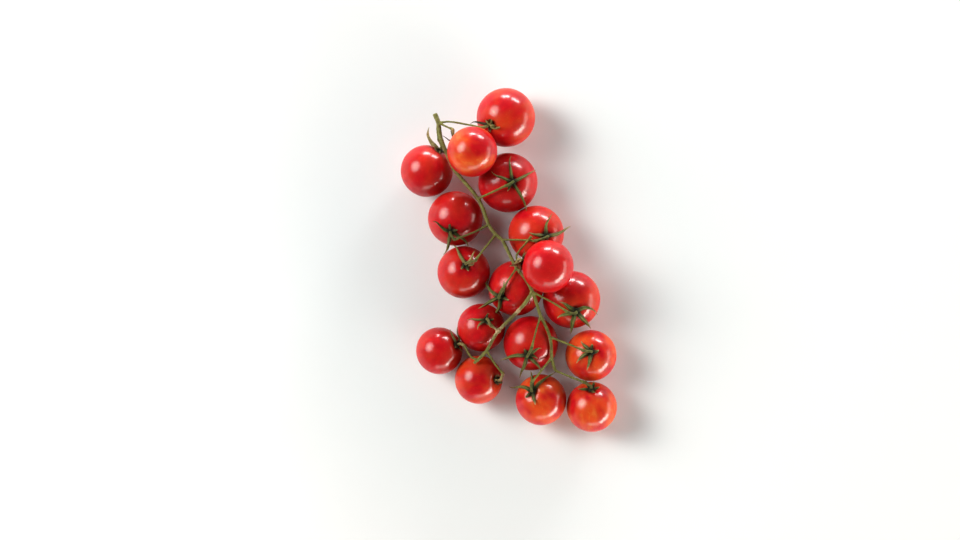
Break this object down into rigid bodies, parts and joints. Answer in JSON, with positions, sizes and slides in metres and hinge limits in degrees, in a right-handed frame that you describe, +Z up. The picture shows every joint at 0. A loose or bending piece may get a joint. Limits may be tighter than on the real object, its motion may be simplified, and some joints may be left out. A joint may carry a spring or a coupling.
{
  "type": "truss of tomatoes",
  "caption": "Truss of ripe cherry tomatoes on its cut green vine, lying on a surface, each fruit with its calyx and knuckled pedicel.",
  "frame": {"origin": "on the surface that the truss lies on, under the middle of its outline", "axes": "+Z up out of the surface, +Y along the truss towards the cut end of the stem, +X across it"},
  "size_m": [0.1209, 0.1923, 0.0525],
  "materials": {
    "tomato_skin": "smooth glossy ripe skin, red with orange shoulders",
    "calyx_green": "matt, finely hairy green sepals with dry pale tips",
    "vine_bark": "matt, ribbed olive green stem with woody nodes"
  },
  "bodies": {
    "root": {"vine": "vine_bark", "calyx_01": "calyx_green", "calyx_02": "calyx_green", "calyx_03": "calyx_green", "calyx_04": "calyx_green", "calyx_05": "calyx_green", "calyx_06": "calyx_green", "calyx_07": "calyx_green", "calyx_08": "calyx_green", "calyx_09": "calyx_green", "calyx_10": "calyx_green", "calyx_11": "calyx_green", "calyx_12": "calyx_green", "calyx_13": "calyx_green", "calyx_14": "calyx_green", "calyx_15": "calyx_green", "calyx_16": "calyx_green", "calyx_17": "calyx_green", "tomato_01": "tomato_skin", "tomato_02": "tomato_skin", "tomato_03": "tomato_skin", "tomato_04": "tomato_skin", "tomato_05": "tomato_skin", "tomato_06": "tomato_skin", "tomato_07": "tomato_skin", "tomato_08": "tomato_skin", "tomato_09": "tomato_skin", "tomato_10": "tomato_skin", "tomato_11": "tomato_skin", "tomato_12": "tomato_skin", "tomato_13": "tomato_skin", "tomato_14": "tomato_skin", "tomato_15": "tomato_skin", "tomato_16": "tomato_skin", "tomato_17": "tomato_skin"}
  },
  "joints": []
}
